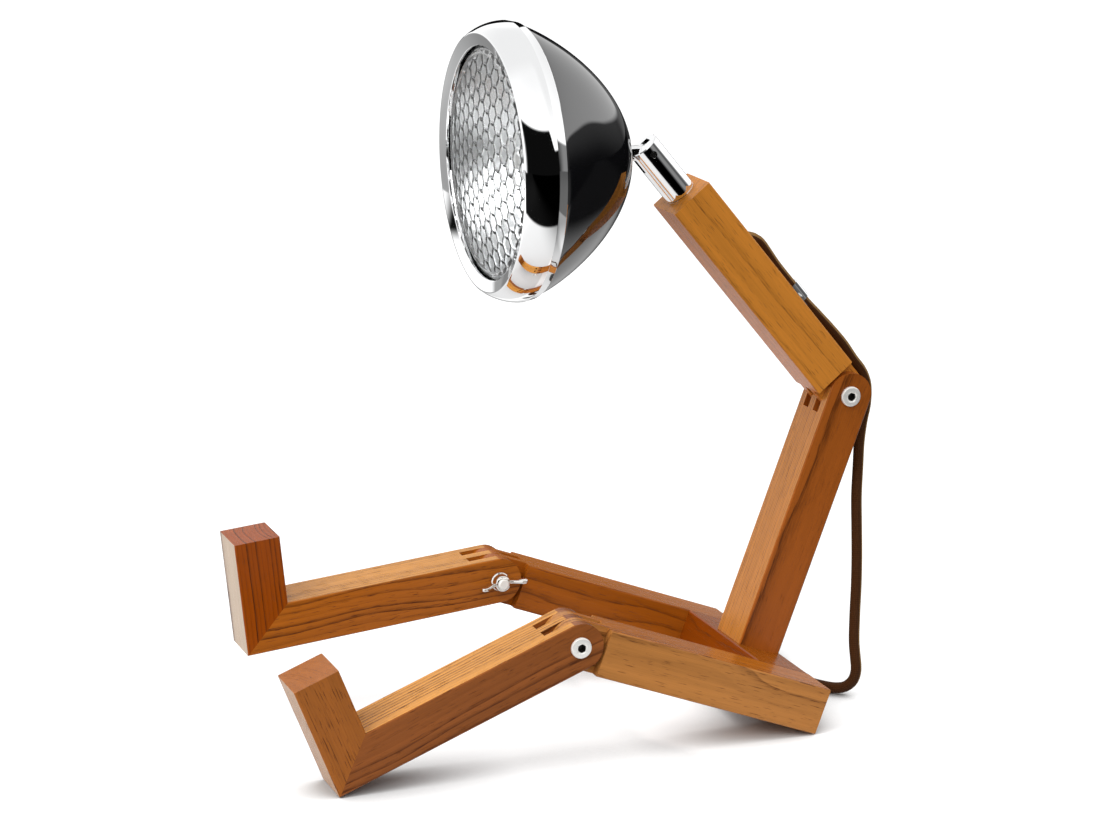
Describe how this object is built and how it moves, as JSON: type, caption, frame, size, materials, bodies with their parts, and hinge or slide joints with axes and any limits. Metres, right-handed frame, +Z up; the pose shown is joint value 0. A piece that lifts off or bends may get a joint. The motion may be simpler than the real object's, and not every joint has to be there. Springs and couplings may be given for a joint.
{
  "type": "robot shaped desk lamp",
  "caption": "Desk lamp shaped like a seated robot figure: hinged square wooden sticks, a chrome neck post and a black round headlamp with a patterned glass lens.",
  "frame": {"origin": "middle of the footprint, on the surface that the lamp stands on, measured without the cord", "axes": "the figure faces -X, its left side is towards -Y, +Z is up"},
  "size_m": [0.3497, 0.3199, 0.3745],
  "materials": {
    "oiled_wood": "open-grained wood, oiled to a satin honey brown",
    "dowel_wood": "plain turned wood",
    "steel_screws": "zinc plated",
    "nickel_hardware": "nickel plated, smooth",
    "chrome": "polished chrome plate",
    "lacquered_shell": "black gloss lacquer on sheet steel",
    "patterned_glass": "clear pressed glass with an oval cell pattern",
    "bulb_glass": "frosted",
    "rubber_seal": "matte",
    "reflector_aluminium": "bright, vapour coated",
    "holder_plastic": "moulded, matte",
    "textile_cord": "braided textile sheath, dark brown",
    "inner_lead": "sheathed wire",
    "switch_plastic": "black moulding, soft gloss",
    "brass_contacts": "plain"
  },
  "bodies": {
    "seat_and_spine": {"left_thigh": "oiled_wood", "right_thigh": "oiled_wood", "pelvis_block": "oiled_wood", "pelvis_dowels": "dowel_wood", "spine": "oiled_wood", "spine_screws": "steel_screws", "waist_bolt": "nickel_hardware", "cord_drop": "textile_cord", "switch_base": "switch_plastic", "switch_cover": "switch_plastic", "switch_screws": "steel_screws", "switch_contacts": "brass_contacts", "cord_link": "textile_cord", "cord_coil": "textile_cord", "plug_lead": "textile_cord", "plug_body": "switch_plastic", "plug_pins": "nickel_hardware"},
    "waist_nut": {"waist_wing_nut": "nickel_hardware"},
    "left_lower_leg": {"left_shin": "oiled_wood", "left_foot": "oiled_wood", "left_foot_dowels": "dowel_wood", "left_knee_bolt": "nickel_hardware"},
    "left_knee_nut": {"left_knee_wing_nut": "nickel_hardware"},
    "right_lower_leg": {"right_shin": "oiled_wood", "right_foot": "oiled_wood", "right_foot_dowels": "dowel_wood", "right_knee_bolt": "nickel_hardware"},
    "right_knee_nut": {"right_knee_wing_nut": "nickel_hardware"},
    "torso": {"upper_torso": "oiled_wood", "neck_nipple": "nickel_hardware", "neck_washer": "nickel_hardware", "torso_lead": "inner_lead", "cord_grip": "holder_plastic", "cord_clip": "chrome", "clip_screws": "steel_screws", "cord_back": "textile_cord"},
    "neck": {"neck_post": "chrome", "tilt_pin": "nickel_hardware"},
    "head": {"head_shell": "lacquered_shell", "rim_ring": "chrome", "lens": "patterned_glass", "lens_gasket": "rubber_seal", "reflector": "reflector_aluminium", "lens_clips": "nickel_hardware", "bulb_glass": "bulb_glass", "bulb_cap": "nickel_hardware", "lamp_holder": "holder_plastic", "holder_ring": "nickel_hardware", "head_lead": "inner_lead", "head_knuckle": "chrome", "knuckle_washer": "nickel_hardware", "knuckle_nut": "nickel_hardware"},
    "rocker": {"switch_rocker": "switch_plastic"}
  },
  "joints": [
    {"name": "left_knee", "type": "hinge", "parent": "seat_and_spine", "child": "left_lower_leg", "pos_m": [-0.01983, -0.062, 0.06365], "axis": [0, -1, 0], "range_deg": [-132.1, 47.9]},
    {"name": "right_knee", "type": "hinge", "parent": "seat_and_spine", "child": "right_lower_leg", "pos_m": [-0.01983, 0.062, 0.06365], "axis": [0, -1, 0], "range_deg": [-116.3, 63.7]},
    {"name": "waist", "type": "hinge", "parent": "seat_and_spine", "child": "torso", "pos_m": [0.15901, 0, 0.16514], "axis": [0, -1, 0], "range_deg": [-90, 30], "deforming": ["cord_drop"]},
    {"name": "neck_swivel", "type": "hinge", "parent": "torso", "child": "neck", "pos_m": [0.06621, 0, 0.27914], "axis": [-0.6313, 0, 0.7755], "range_deg": [-90, 90]},
    {"name": "head_tilt", "type": "hinge", "parent": "neck", "child": "head", "pos_m": [0.0474, 0, 0.30225], "axis": [0, -1, 0], "range_deg": [-50, 40]},
    {"name": "waist_wing_nut_turn", "type": "hinge", "parent": "seat_and_spine", "child": "waist_nut", "pos_m": [0.15901, 0, 0.16514], "axis": [0, 1, 0], "continuous": true},
    {"name": "left_knee_wing_nut_turn", "type": "hinge", "parent": "left_lower_leg", "child": "left_knee_nut", "pos_m": [-0.01983, -0.062, 0.06365], "axis": [0, 1, 0], "continuous": true},
    {"name": "right_knee_wing_nut_turn", "type": "hinge", "parent": "right_lower_leg", "child": "right_knee_nut", "pos_m": [-0.01983, 0.062, 0.06365], "axis": [0, 1, 0], "continuous": true},
    {"name": "switch_rocker_tip", "type": "hinge", "parent": "seat_and_spine", "child": "rocker", "pos_m": [0.13316, 0.064, 0.013], "axis": [-0.9945, -0.1045, 0], "range_deg": [-16, 0]}
  ]
}
